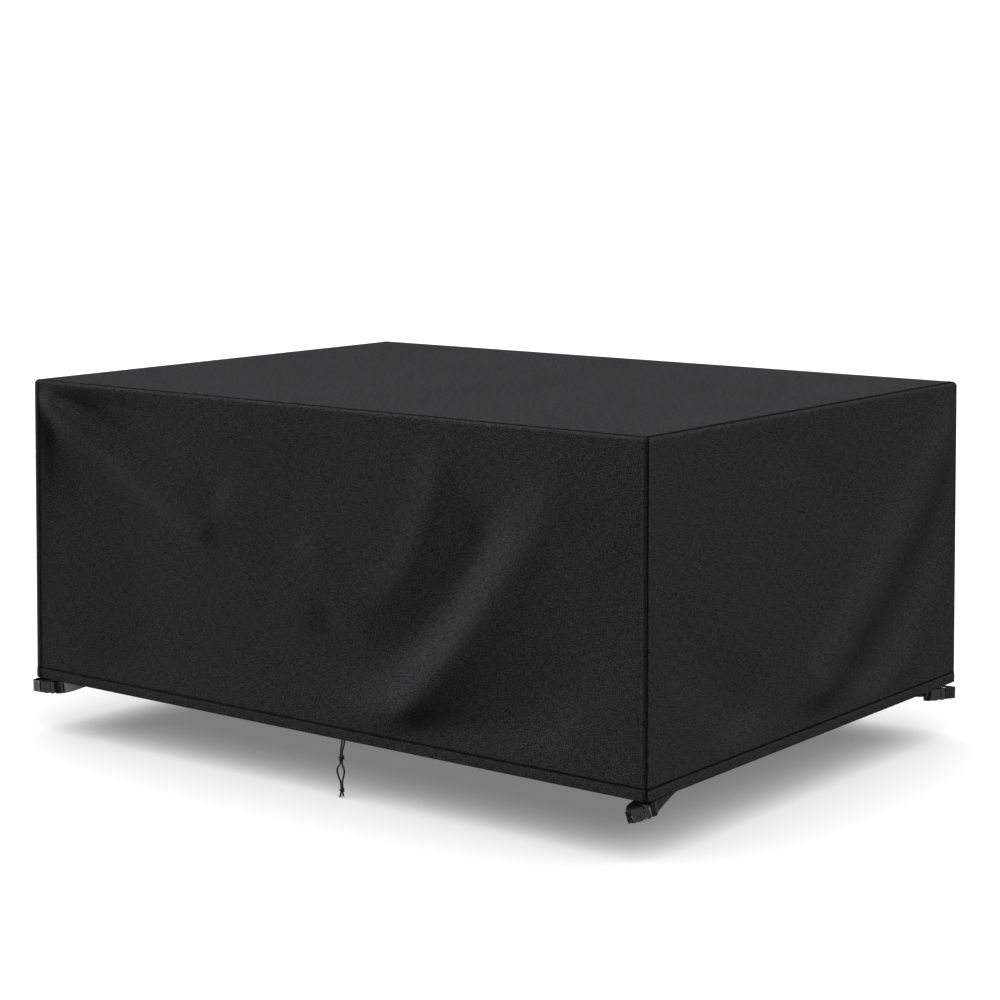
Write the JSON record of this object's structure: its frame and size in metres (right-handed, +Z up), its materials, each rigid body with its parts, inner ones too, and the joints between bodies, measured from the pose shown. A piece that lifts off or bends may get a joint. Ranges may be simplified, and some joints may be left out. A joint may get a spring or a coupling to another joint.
{
  "type": "patio furniture cover",
  "caption": "Fitted box cover of coated woven cloth for patio furniture, with a drawcord hem and a clipped webbing strap below each corner.",
  "frame": {"origin": "middle of the top panel's underside, where the cover is carried", "axes": "+X along the long sides, +Y from the front panel to the back panel, +Z up"},
  "size_m": [2.0013, 1.4853, 0.9425],
  "materials": {
    "cover_cloth": "coated plain weave, black",
    "strap_webbing": "woven webbing, black",
    "buckle_plastic": "moulded, glossy black",
    "drawcord_braid": "round braid, black"
  },
  "bodies": {
    "root": {"top_panel": "cover_cloth", "front_panel": "cover_cloth", "right_panel": "cover_cloth", "back_panel": "cover_cloth", "left_panel": "cover_cloth", "strap_short_near": "strap_webbing", "strap_long_near": "strap_webbing", "buckle_prong_near": "buckle_plastic", "buckle_socket_near": "buckle_plastic", "strap_short_right": "strap_webbing", "strap_long_right": "strap_webbing", "buckle_prong_right": "buckle_plastic", "buckle_socket_right": "buckle_plastic", "strap_short_left": "strap_webbing", "strap_long_left": "strap_webbing", "buckle_prong_left": "buckle_plastic", "buckle_socket_left": "buckle_plastic", "strap_short_back": "strap_webbing", "strap_long_back": "strap_webbing", "buckle_prong_back": "buckle_plastic", "buckle_socket_back": "buckle_plastic", "cord_left_top": "drawcord_braid", "cord_right_top": "drawcord_braid", "cord_left_loop": "drawcord_braid", "cord_right_loop": "drawcord_braid", "cord_left_end": "drawcord_braid", "cord_right_end": "drawcord_braid", "knot_upper": "drawcord_braid", "knot_lower": "drawcord_braid"}
  },
  "joints": []
}
